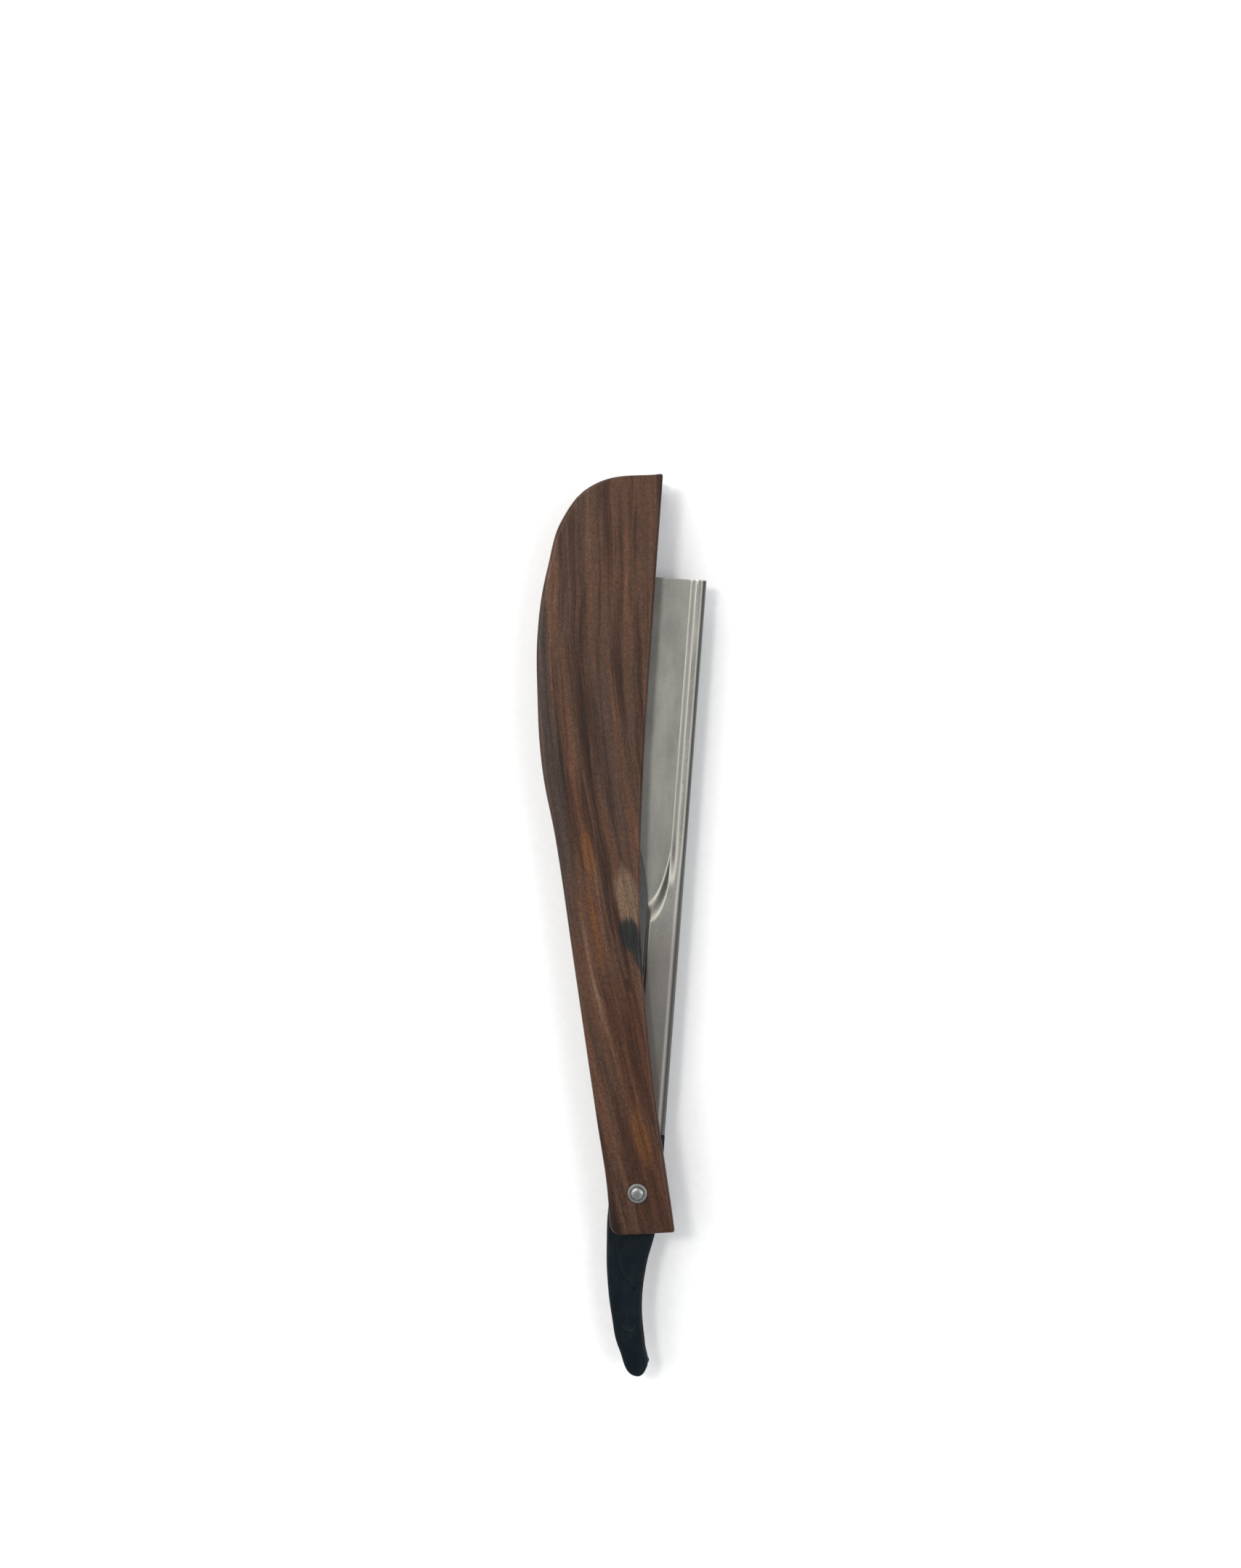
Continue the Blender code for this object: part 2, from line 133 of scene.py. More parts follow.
# Arm
SHANK_WIDTH = 6.8 * MM
TAIL_SPINE_SIDE = ((0.945, 4.6), (0.83, 3.9), (0.62, 2.7), (0.40, 3.0), (0.21, 4.3))
TAIL_EDGE_SIDE = ((0.12, -5.4), (0.30, -5.2), (0.48, -4.6), (0.68, -3.2), (0.86, -1.2))
TAIL_TIP = 2.7
EYE_SIDE = 4.5
ARM_RIM = (0.55 * MM, 0.45 * MM, 5)
PARTING_LINE = 0.03 * MM  # how far the mould's parting line stands proud
RECESS_DEPTH = 0.4 * MM
RECESS_FILLET = (0.22 * MM, 0.22 * MM, 4)
PANEL_TOP = ((-3.8, -7.5), (1.7, -7.5))
PANEL_SPINE_SIDE = (1.3, -14.0)
PANEL_POINT = (1.0, -20.0)
PANEL_EDGE_SIDE = ((-1.9, -16.5), (-3.4, -12.0))
DOT_PLACE = (0.3, -26.9)
DOT_RADIUS = 1.55 * MM
MOULD_MARK = (1.2, -29.7)  # a tiny raised ring below the dot
GATE_PLACE = (4.55, -34.0)  # where the moulding was cut from its sprue
GATE_SIZE = (0.42, 0.62, 0.75)  # half widths of the stub left there
TONGUE_ROUNDING = 0.94  # of the tongue's half thickness

# Holder
BLADE_SLOT = 0.3 * MM
BEAD_THICKNESS = 2.4 * MM
BEAD_WIDTH = 1.85 * MM
VALLEY_WIDTH = 1.25 * MM
LIP_RADIUS = 0.8 * MM
SEAM_GAP = 1.2 * MM
PRESS_START = 53.0 * MM
PRESS_RAMP = 3.5 * MM
PRESS_LEAD = 1.2 * MM  # how much sooner the dip starts here than in the CAD, which softens it
PRESS_STRETCH = 1.2  # and how much longer it is at the free edge
PRESS_SLANT = 3.0 * MM
PRESS_CURL = 4.5 * MM
BEAD_TAPER = 20.0 * MM
HEEL_START = 56.0 * MM
HEEL_LENGTH = 25.0 * MM
TIP_RADIUS = 1.0 * MM
SHEET_BURR = 0.07 * MM  # how far the sheet's cut edges are broken

# Half blade
TAB_LENGTH = 2.8 * MM
TAB_INSET = 1.2 * MM
KEY_HALF_WIDTH = 1.4 * MM
KEY_LENGTH = 33.0 * MM
GRIND_WIDTH = 0.9 * MM
EDGE_WIDTH = 0.25 * MM
EDGE_SHARE = 0.04  # of the blade's thickness left at the edge
SHOULDER_SHARE = 0.42  # and where the two ground facets meet


def mix(first, second, share):
    return first + (second - first) * share


def smoothstep(value, start, end):
    share = min(max((value - start) / (end - start), 0.0), 1.0)
    return share * share * (3 - 2 * share)


# ---------------------------------------------------------------- mesh tools

LONGEST_STEP = 1.2 * MM  # between two points of an outline
CAP_SPACING = 1.1 * MM  # between the points inside a flat cap
SLIGHT_TURN = radians(4)  # outlines that turn less than this at a point count as straight there
SHARP_TURN = radians(25)  # from here on a point is a corner, which contour() rounds
OVERCUT = 1.0 * MM  # how far a cutting tool reaches past the face it cuts


def smooth(points, unit=1.0):
    return [(x * unit, y * unit, "AUTO", "AUTO") for x, y in points]


def corners(points, unit=1.0):
    return [(x * unit, y * unit, "VECTOR", "VECTOR") for x, y in points]


def new_object(name, mesh):
    item = bpy.data.objects.new(name, mesh)
    bpy.context.scene.collection.objects.link(item)
    return item


def settle(item):
    """Keeps what the modifiers make as the object's own mesh."""
    depsgraph = bpy.context.evaluated_depsgraph_get()
    mesh = bpy.data.meshes.new_from_object(
        item.evaluated_get(depsgraph), preserve_all_data_layers=True, depsgraph=depsgraph
    )
    old = item.data
    item.modifiers.clear()
    item.data = mesh
    if isinstance(old, bpy.types.Mesh):
        bpy.data.meshes.remove(old)
    return item


def traced(points, steps=24):
    """Sampled points of a closed outline given as (x, y, handle before, handle after)."""
    curve = bpy.data.curves.new("outline", "CURVE")
    curve.dimensions = "2D"
    curve.fill_mode = "NONE"
    curve.resolution_u = steps
    spline = curve.splines.new("BEZIER")
    spline.bezier_points.add(len(points) - 1)
    spline.use_cyclic_u = True
    for point, (x, y, before, after) in zip(spline.bezier_points, points):
        point.co = (x, y, 0)
        point.handle_left_type = before
        point.handle_right_type = after
    item = new_object("outline", curve)
    depsgraph = bpy.context.evaluated_depsgraph_get()
    mesh = bpy.data.meshes.new_from_object(item.evaluated_get(depsgraph))
    sampled = [vertex.co.xy.copy() for vertex in mesh.vertices]
    bpy.data.objects.remove(item)
    bpy.data.meshes.remove(mesh)
    bpy.data.curves.remove(curve)
    found = []
    for here, there in zip(sampled, sampled[1:] + sampled[:1]):
        pieces = ceil((there - here).length / LONGEST_STEP)
        found += [here.lerp(there, piece / pieces) for piece in range(pieces)]
    return found


def anticlockwise(outline):
    area = sum(a.x * b.y - b.x * a.y for a, b in zip(outline, outline[1:] + outline[:1]))
    return outline if area > 0 else outline[::-1]


def turn_at(outline, number):
    """Angle that the outline turns by at a point, positive to the left."""
    before = outline[number] - outline[number - 1]
    after = outline[(number + 1) % len(outline)] - outline[number]
    return atan2(before.cross(after), before.dot(after))


def clear_corners(outline, inset):
    """Drops the points beside a corner that an inset would push past it."""
    reaches = []
    for number, here in enumerate(outline):
        turn = turn_at(outline, number)
        if turn > SLIGHT_TURN:
            reaches.append((here, 1.2 * inset * tan(turn / 2) + 0.02 * MM))

    def clear(point):
        return all(point is here or (point - here).length > reach for here, reach in reaches)

    return [point for point in outline if clear(point)]


def contour(outline, inset, corner_radius, corner_steps=5):
    """The outline moved inwards, with its sharp corners rounded; the point count never changes."""
    found = []
    for number, here in enumerate(outline):
        before = (here - outline[number - 1]).normalized()
        after = (outline[(number + 1) % len(outline)] - here).normalized()
        left_before = Vector((-before.y, before.x))
        left_after = Vector((-after.y, after.x))
        miter = (left_before + left_after) / (1 + left_before.dot(left_after))
        moved = here + miter * inset
        turn = turn_at(outline, number)
        if abs(turn) < SHARP_TURN:
            found.append(moved)
            continue
        side = 1 if turn > 0 else -1
        radius = max(corner_radius - side * inset, 0.01 * MM)
        centre = moved + miter * radius * side
        start = atan2(-left_before.y * side, -left_before.x * side)
        for step in range(corner_steps + 1):
            angle = start + turn * step / corner_steps
            found.append(centre + radius * Vector((cos(angle), sin(angle))))
    return found


def rim(height, side, shape):
    """Levels (inset, height, wear) of a rounded rim from its flat to its wall; side 1 is the top."""
    inset, drop, steps = shape
    levels = []
    for step in range(steps + 1):
        turn = pi / 2 * step / steps
        levels.append((inset * (1 - sin(turn)), height - side * drop * (1 - cos(turn)), sin(2 * turn)))
    return levels


def fill_cap(work, ring, upwards):
    """Fills a flat ring of vertices with triangles of even size."""
    height = ring[0].co.z
    near = kdtree.KDTree(len(ring))
    for number, vert in enumerate(ring):
        near.insert(vert.co, number)
    near.balance()
    coordinates = [vert.co.xy / MM for vert in ring]
    low_x, high_x = (pick(vert.co.x for vert in ring) for pick in (min, max))
    low_y, high_y = (pick(vert.co.y for vert in ring) for pick in (min, max))
    row_height = CAP_SPACING * sqrt(0.75)
    for row in range(1, ceil((high_y - low_y) / row_height)):
        shift = 0.5 * (row % 2)
        for column in range(1, ceil((high_x - low_x) / CAP_SPACING)):
            place = Vector((low_x + (column + shift) * CAP_SPACING, low_y + row * row_height, height))
            if near.find(place)[2] > 0.7 * CAP_SPACING:
                coordinates.append(place.xy / MM)
    edges = [(number, (number + 1) % len(ring)) for number in range(len(ring))]
    points, _, faces, origins, _, _ = delaunay_2d_cdt(coordinates, edges, [], 1, 1e-6)
    made = {}
    for face in faces:
        for number in face:
            if number in made:
                continue
            source = origins[number][0]
            on_ring = source < len(ring)
            made[number] = ring[source] if on_ring else work.verts.new((*(points[number] * MM), height))
        verts = [made[number] for number in face]
        work.faces.new(verts if upwards else verts[::-1])


def plate(name, outline, low, high, low_rim=None, high_rim=None, corner_radius=0.0, belt=0.0):
    """A flat plate with rounded rims; belt is how far its middle line stands proud of the wall."""
    deepest = max(shape[0] for shape in (low_rim, high_rim, (corner_radius,)) if shape)
    outline = clear_corners(anticlockwise(outline), deepest)
    levels = rim(low, -1, low_rim) if low_rim else [(0.0, low, 0.0)]
    if belt:
        middle = (low + high) / 2
        levels += [(0.0, middle - 2 * belt, 0.0), (-belt, middle, 0.3), (0.0, middle + 2 * belt, 0.0)]
    levels += rim(high, 1, high_rim)[::-1] if high_rim else [(0.0, high, 0.0)]
    work = bmesh.new()
    wear = work.verts.layers.float.new("wear")
    rings = []
    for inset, height, worn in levels:
        ring = [work.verts.new((*point, height)) for point in contour(outline, inset, corner_radius)]
        for vert in ring:
            vert[wear] = worn
        rings.append(ring)
    for lower, upper in zip(rings, rings[1:]):
        for number in range(len(lower)):
            follow = (number + 1) % len(lower)
            work.faces.new((lower[number], lower[follow], upper[follow], upper[number]))
    fill_cap(work, rings[0], upwards=False)
    fill_cap(work, rings[-1], upwards=True)
    mesh = bpy.data.meshes.new(name)
    work.to_mesh(mesh)
    work.free()
    return new_object(name, mesh)


def turned(name, profile, steps=72, closed=False):
    """A shape turned about Z from (radius, height) points that run down its outer side."""
    work = bmesh.new()
    rings = []
    for radius, height in profile:
        if radius == 0:
            rings.append([work.verts.new((0, 0, height))] * steps)
            continue
        turns = [2 * pi * step / steps for step in range(steps)]
        rings.append([work.verts.new((radius * cos(t), radius * sin(t), height)) for t in turns])
    pairs = list(zip(rings, rings[1:]))
    if closed:
        pairs.append((rings[-1], rings[0]))
    for upper, lower in pairs:
        for number in range(steps):
            follow = (number + 1) % steps
            around = (upper[number], lower[number], lower[follow], upper[follow])
            work.faces.new(dict.fromkeys(around))
    mesh = bpy.data.meshes.new(name)
    work.to_mesh(mesh)
    work.free()
    return new_object(name, mesh)


def circle(x, y, radius, steps=72):
    turns = [2 * pi * step / steps for step in range(steps)]
    return [Vector((x + radius * cos(turn), y + radius * sin(turn))) for turn in turns]


def combine(item, tools, operation="DIFFERENCE"):
    """Cuts the tools out of the item, or joins them to it, and removes the tools."""
    for tool in tools:
        boolean = item.modifiers.new("tool", "BOOLEAN")
        boolean.operation = operation
        boolean.solver = "EXACT"
        boolean.object = tool
    settle(item)
    for tool in tools:
        bpy.data.objects.remove(tool)
    return item


def shade(item, angle=35):
    item.data.shade_smooth()
    item.data.set_sharp_from_angle(angle=radians(angle))
    weighted = item.modifiers.new("Even shading", "WEIGHTED_NORMAL")
    weighted.keep_sharp = True
    weighted.weight = 90
    return item


def stands_for(item, node, body, slot, material, in_arm=False):
    """Puts a finished piece in the frame in place of a CAD node."""
    item.data.materials.clear()
    item.data.materials.append(material)
    if in_arm:
        item.matrix_world = ARM_FRAME
    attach(item, body)
    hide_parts(node)
    return item


# ---------------------------------------------------------------- material tools


def set_stops(elements, stops):
    """Fills a colour ramp from (position, colour) pairs."""
    while len(elements) < len(stops):
        elements.new(0.5)
    for element, (position, colour) in zip(elements, stops):
        element.position = position
        element.color = (*colour, 1.0)


class Recipe:
    """Builds the nodes of one material; its methods take and return node sockets or numbers."""

    def __init__(self, name, seed=0.0):
        self.material = bpy.data.materials.new(name)
        self.material.use_nodes = True
        self.tree = self.material.node_tree
        self.shader = self.tree.nodes["Principled BSDF"]
        coordinates = self.add("TexCoord", output="Object")
        self.place = self.add("VectorMath", (coordinates, (1000, 1000, 1000)), operation="MULTIPLY")
        self.shift = (31.7 * seed, 57.3 * seed, 83.9 * seed)
        split = self.tree.nodes.new("ShaderNodeSeparateXYZ")
        self.tree.links.new(self.place, split.inputs[0])
        self.x, self.y, self.z = split.outputs

    def add(self, kind, inputs=(), output=0, **settings):
        node = self.tree.nodes.new("ShaderNode" + kind)
        for key, value in settings.items():
            setattr(node, key, value)
        named = inputs.items() if isinstance(inputs, dict) else enumerate(inputs)
        for socket, value in named:
            self.feed(node.inputs[socket], value)
        return node.outputs[output]

    def feed(self, socket, value):
        if isinstance(value, bpy.types.NodeSocket):
            self.tree.links.new(value, socket)
        else:
            socket.default_value = value

    def math(self, operation, *values, clamp=False):
        return self.add("Math", values, operation=operation, use_clamp=clamp)

    def ramp(self, value, low, high, first=0.0, last=1.0):
        """first where the value is under low, last where it is over high, smooth between."""
        return self.add(
            "MapRange", (value, low, high, first, last), interpolation_type="SMOOTHSTEP"
        )

    def vector(self, x, y, z):
        return self.add("CombineXYZ", (x, y, z))

    def radius(self):
        """Distance from the Z axis in millimetres."""
        squares = [self.math("MULTIPLY", value, value) for value in (self.x, self.y)]
        return self.math("SQRT", self.math("ADD", *squares))

    def noise(self, place, size, detail=2.0, roughness=0.5, distortion=0.0):
        """Noise from 0 to 1 whose features are about size = (x, y, z) millimetres."""
        moved = self.add("VectorMath", (place, self.shift), operation="ADD")
        spread = self.add("VectorMath", (moved, size), operation="DIVIDE")
        settings = {"Vector": spread, "Scale": 1.0, "Detail": detail, "Roughness": roughness}
        settings["Distortion"] = distortion
        return self.add("TexNoise", settings)

    def cells(self, place, size, output="Distance"):
        moved = self.add("VectorMath", (place, self.shift), operation="ADD")
        spread = self.add("VectorMath", (moved, size), operation="DIVIDE")
        return self.add("TexVoronoi", {"Vector": spread, "Scale": 1.0}, output=output)

    def blend(self, share, first, second, mode="MIX"):
        def colour(value):
            return (*value, 1.0) if isinstance(value, tuple) and len(value) == 3 else value

        inputs = {0: share, 6: colour(first), 7: colour(second)}
        return self.add("Mix", inputs, output=2, data_type="RGBA", blend_type=mode)

    def colours(self, value, stops):
        """Colours blended between stops, which are (value, colour) pairs."""
        node = self.tree.nodes.new("ShaderNodeValToRGB")
        self.tree.links.new(value, node.inputs[0])
        set_stops(node.color_ramp.elements, list(stops))
        return node.outputs[0]

    def attribute(self, name):
        return self.add("Attribute", output="Fac", attribute_name=name)

    def bump(self, height, distance, strength=1.0, normal=None):
        inputs = {"Strength": strength, "Distance": distance, "Height": height}
        if normal is not None:
            inputs["Normal"] = normal
        return self.add("Bump", inputs)

    def finish(self, colour, roughness, normal=None, **constants):
        self.feed(self.shader.inputs["Base Color"], colour)
        self.feed(self.shader.inputs["Roughness"], roughness)
        if normal is not None:
            self.feed(self.shader.inputs["Normal"], normal)
        for name, value in constants.items():
            self.shader.inputs[name.replace("_", " ")].default_value = value
        return self.material


# ---------------------------------------------------------------- rosewood

STRAIGHT_ABOVE = 112.0  # the grain is parallel to Y above this, and drifts below it
GRAIN_DRIFT = 0.0163
PORES_BELOW = 32.0  # the open pores are densest under this height
PORES_FADE = 52.0

DARK = (0.0130, 0.0055, 0.0035)
UMBER = (0.0300, 0.0120, 0.0062)
BROWN = (0.0520, 0.0270, 0.0165)
RUSSET = (0.0690, 0.0290, 0.0160)
FAWN = (0.1150, 0.0700, 0.0450)
AMBER = (0.0980, 0.0370, 0.0085)
STAIN = (0.0095, 0.0115, 0.0115)
DUSK = (0.0300, 0.0200, 0.0165)
MAHOGANY = (0.0440, 0.0165, 0.0085)
INK = (0.0070, 0.0034, 0.0026)

# Figure in the front scale: place (x, y), half width, half length, colour, strength
FRONT_FIGURE = (
    ((-17.9, 88.0), 2.5, 40.0, DUSK, 0.85),
    ((-15.5, 90.0), 0.3, 20.0, INK, 0.60),
    ((-13.6, 90.0), 1.3, 22.0, RUSSET, 0.60),
    ((-2.0, 126.0), 6.0, 22.0, RUSSET, 0.35),
    ((-11.0, 73.0), 2.6, 11.0, MAHOGANY, 0.65),
    ((-9.6, 72.0), 0.8, 9.0, DARK, 0.50),
    ((-5.5, 84.0), 2.6, 22.0, DUSK, 0.35),
    ((-9.6, 66.5), 1.3, 6.0, AMBER, 0.55),
    ((-8.3, 52.0), 0.6, 9.0, AMBER, 0.75),
    ((-1.7, 57.0), 2.6, 7.5, FAWN, 0.92),
    ((-6.3, 60.0), 0.6, 12.0, DARK, 0.60),
    ((-3.3, 50.5), 0.8, 8.0, UMBER, 0.75),
    ((-1.2, 50.6), 2.3, 3.8, STAIN, 0.95),
    ((0.2, 47.4), 1.4, 4.4, STAIN, 0.95),
    ((0.9, 44.4), 0.6, 3.0, STAIN, 0.95),
    ((-1.8, 40.8), 0.6, 1.7, INK, 0.85),
    ((-4.6, 40.0), 0.4, 6.0, FAWN, 0.40),
    ((-1.0, 29.0), 5.0, 15.0, MAHOGANY, 0.80),
    ((2.2, 2.0), 4.5, 18.0, MAHOGANY, 0.75),
    ((0.8, 11.0), 1.8, 6.5, AMBER, 0.50),
)
REAR_FIGURE = (
    ((-15.0, 96.0), 2.6, 30.0, RUSSET, 0.55),
    ((-6.0, 104.0), 1.3, 26.0, DUSK, 0.70),
    ((-9.5, 62.0), 1.1, 18.0, AMBER, 0.55),
    ((-3.0, 34.0), 2.0, 12.0, FAWN, 0.45),
    ((1.5, 8.0), 1.0, 9.0, DARK, 0.60),
)
SPACER_FIGURE = (((-14.0, 118.0), 2.0, 20.0, UMBER, 0.60),)


def drift(height):
    """How far a grain line has wandered towards +X at this height, in millimetres."""
    return GRAIN_DRIFT * max(STRAIGHT_ABOVE - height, 0.0) ** 1.5


def rosewood(name, seed, figure):
    wood = Recipe(name, seed)
    below = wood.math("MAXIMUM", wood.math("SUBTRACT", STRAIGHT_ABOVE, wood.y), 0.0)
    drifted = wood.math("MULTIPLY", wood.math("POWER", below, 1.5), GRAIN_DRIFT)
    straight = wood.math("SUBTRACT", wood.x, drifted)
    upright = wood.vector(straight, wood.y, wood.z)
    waver = wood.math("SUBTRACT", wood.noise(upright, (9.0, 26.0, 7.0), 2.0), 0.5)
    ripple = wood.math("SUBTRACT", wood.noise(upright, (2.5, 6.0, 2.5), 1.0), 0.5)
    bend = wood.math("ADD", wood.math("MULTIPLY", waver, 2.0), wood.math("MULTIPLY", ripple, 0.35))
    across = wood.math("ADD", straight, bend)
    grain = wood.vector(across, wood.y, wood.z)

    bands = wood.noise(grain, (3.0, 80.0, 5.0), 2.0, 0.5)
    streaks = wood.noise(grain, (0.80, 26.0, 1.6), 4.0, 0.60)
    fibres = wood.noise(grain, (0.18, 3.4, 0.3), 3.0, 0.65)
    speckle = wood.noise(grain, (0.32, 0.46, 0.36), 2.0, 0.6)
    tone = wood.math("ADD", wood.math("MULTIPLY", bands, 0.60), wood.math("MULTIPLY", streaks, 0.46))
    tone = wood.math("ADD", tone, wood.math("MULTIPLY", fibres, 0.10))
    tone = wood.math("SUBTRACT", tone, 0.08)
    stops = ((0.35, DARK), (0.44, UMBER), (0.52, BROWN), (0.60, RUSSET), (0.72, FAWN))
    colour = wood.colours(tone, stops)

    ragged = wood.math("MULTIPLY", wood.math("SUBTRACT", streaks, 0.5), 1.2)
    shaded = wood.ramp(streaks, 0.32, 0.66, 0.66, 1.30)
    for (x, y), half_width, half_length, tint, strength in figure:
        u = wood.math("DIVIDE", wood.math("SUBTRACT", straight, x - drift(y)), half_width)
        v = wood.math("DIVIDE", wood.math("SUBTRACT", wood.y, y), half_length)
        squares = wood.math("ADD", wood.math("MULTIPLY", u, u), wood.math("MULTIPLY", v, v))
        reach = wood.math("ADD", wood.math("SQRT", squares), ragged)
        share = wood.ramp(reach, 0.65, 1.15, strength, 0.0)
        colour = wood.blend(share, colour, wood.blend(1.0, tint, shaded, "MULTIPLY"))

    # Fine speckle, then the open pores: short dark dashes along the grain
    colour = wood.blend(1.0, colour, wood.ramp(speckle, 0.28, 0.72, 0.74, 1.30), "MULTIPLY")
    dashes = wood.ramp(wood.cells(grain, (0.48, 2.2, 0.5)), 0.10, 0.20, 1.0, 0.0)
    open_here = wood.ramp(wood.y, PORES_BELOW, PORES_FADE, 1.0, 0.30)
    pores = wood.math("MULTIPLY", dashes, open_here)
    colour = wood.blend(wood.math("MULTIPLY", pores, 0.80), colour, INK)

    # Hands have polished and paled the rims
    worn = wood.math("MULTIPLY", wood.attribute("wear"), wood.ramp(streaks, 0.35, 0.65, 0.25, 1.0))
    colour = wood.blend(wood.math("MULTIPLY", worn, 0.30), colour, RUSSET)

    roughness = wood.ramp(fibres, 0.3, 0.7, 0.36, 0.46)
    roughness = wood.math("ADD", roughness, wood.math("MULTIPLY", pores, 0.25))
    roughness = wood.math("SUBTRACT", roughness, wood.math("MULTIPLY", worn, 0.08))
    normal = wood.bump(wood.math("ADD", fibres, speckle), 0.012 * MM, 0.5)
    return wood.finish(colour, roughness, normal, Specular_IOR_Level=0.17)


# ---------------------------------------------------------------- metals and plastics


# Where the marks and painted shade on the metals lie, in millimetres
SHANK_BROWN_FADE = (44.0, 60.0)  # y where the shank's brown colour starts to fade, and ends
VALLEY_SHADE_SPAN = (58.0, 66.0)  # y where the painted shade in the valley beside the bead sets in, and is full
VALLEY_SHADE_LINE = 2.15  # x of the middle of that painted shade
SPINE_SHADE_SPAN = (3.75, 4.15)  # x where painted shade on the spine's roll starts, and is darkest
HEAD_CRACK_SHADE = 1.36  # radius of the painted shade in the crack round the rivet head
WASHER_RIM_SHADE = (1.80, 1.95)  # radius where painted shade darkens the rivet washer's rim


def brushed_steel():
    """The folded sheet: brushed along its length, browner on the shank, with painted shade in the
    valley beside the bead and on the rolled spine.
    """
    steel = Recipe("brushed_steel", 3)
    brushing = steel.noise(steel.place, (0.06, 4.5, 0.06), 3.0, 0.7)
    grit = steel.noise(steel.place, (0.22, 0.30, 0.22), 3.0, 0.65)
    clouds = steel.noise(steel.place, (4.5, 12.0, 4.5), 3.0, 0.55)
    greys = ((0.185, 0.182, 0.166), (0.220, 0.216, 0.197), (0.252, 0.246, 0.224))
    colour = steel.colours(clouds, zip((0.30, 0.55, 0.75), greys))
    colour = steel.blend(1.0, colour, steel.ramp(brushing, 0.25, 0.75, 0.95, 1.04), "MULTIPLY")
    colour = steel.blend(1.0, colour, steel.ramp(grit, 0.28, 0.72, 0.88, 1.10), "MULTIPLY")
    on_shank = steel.ramp(steel.y, *SHANK_BROWN_FADE, 0.85, 0.0)
    colour = steel.blend(on_shank, colour, (0.150, 0.138, 0.126))
    # Painted shade in the valley beside the bead, on the leaves only
    off_line = steel.math("ABSOLUTE", steel.math("SUBTRACT", steel.x, VALLEY_SHADE_LINE))
    on_leaf = steel.ramp(steel.y, *VALLEY_SHADE_SPAN)
    painted_shade = steel.math("MULTIPLY", steel.ramp(off_line, 0.1, 0.8, 1.0, 0.0), on_leaf)
    painted_shade = steel.math("MULTIPLY", painted_shade, steel.ramp(clouds, 0.3, 0.7, 0.3, 0.8))
    colour = steel.blend(steel.math("MULTIPLY", painted_shade, 0.50), colour, (0.11, 0.106, 0.098))
    polished = steel.ramp(steel.y, HOLDER_END / MM - 0.35, HOLDER_END / MM - 0.05)
    colour = steel.blend(steel.math("MULTIPLY", polished, 0.4), colour, (0.50, 0.49, 0.45))
    # Painted shade along the spine's roll
    rolled = steel.ramp(steel.x, *SPINE_SHADE_SPAN)
    colour = steel.blend(steel.math("MULTIPLY", rolled, 0.72), colour, (0.080, 0.080, 0.076))
    uneven = steel.ramp(clouds, 0.3, 0.7, -0.02, 0.03)
    roughness = steel.math("ADD", steel.ramp(grit, 0.2, 0.8, 0.36, 0.46), uneven)
    roughness = steel.math("SUBTRACT", roughness, steel.math("MULTIPLY", polished, 0.06))
    roughness = steel.math("ADD", roughness, steel.math("MULTIPLY", painted_shade, 0.10))
    normal = steel.bump(steel.math("ADD", brushing, grit), 0.003 * MM, 0.5)
    dimples = steel.noise(steel.place, (0.9, 1.4, 0.9), 2.0, 0.5)
    normal = steel.bump(dimples, 0.010 * MM, 0.5, normal)
    return steel.finish(colour, roughness, normal, Metallic=1.0)


def blade_steel():
    """Thin polished strip steel; the edge is ground across in two facets."""
    blade = Recipe("blade_steel", 5)
    inside = blade.math("SUBTRACT", blade.x, blade_low.x / MM)
    ground = blade.ramp(inside, 0.82, 0.92, 1.0, 0.0)
    honed = blade.ramp(inside, 0.22, 0.28, 1.0, 0.0)
    rolled = blade.noise(blade.place, (0.06, 9.0, 1.0), 3.0, 0.6)
    across = blade.noise(blade.place, (1.8, 0.025, 1.0), 3.0, 0.7)
    haze = blade.noise(blade.place, (3.0, 8.0, 3.0), 2.0, 0.5)
    colour = blade.colours(haze, ((0.30, (0.50, 0.52, 0.55)), (0.70, (0.62, 0.63, 0.65))))
    colour = blade.blend(blade.math("MULTIPLY", ground, 0.6), colour, (0.44, 0.45, 0.47))
    colour = blade.blend(blade.math("MULTIPLY", honed, 0.8), colour, (0.74, 0.75, 0.76))
    plain = blade.ramp(rolled, 0.2, 0.8, 0.15, 0.25)
    worked = blade.ramp(across, 0.2, 0.8, 0.24, 0.42)
    roughness = blade.add("Mix", {0: ground, 2: plain, 3: worked}, output=0, data_type="FLOAT")
    marks = blade.add("Mix", {0: ground, 2: rolled, 3: across}, output=0, data_type="FLOAT")
    return blade.finish(colour, roughness, blade.bump(marks, 0.002 * MM, 0.5), Metallic=1.0)


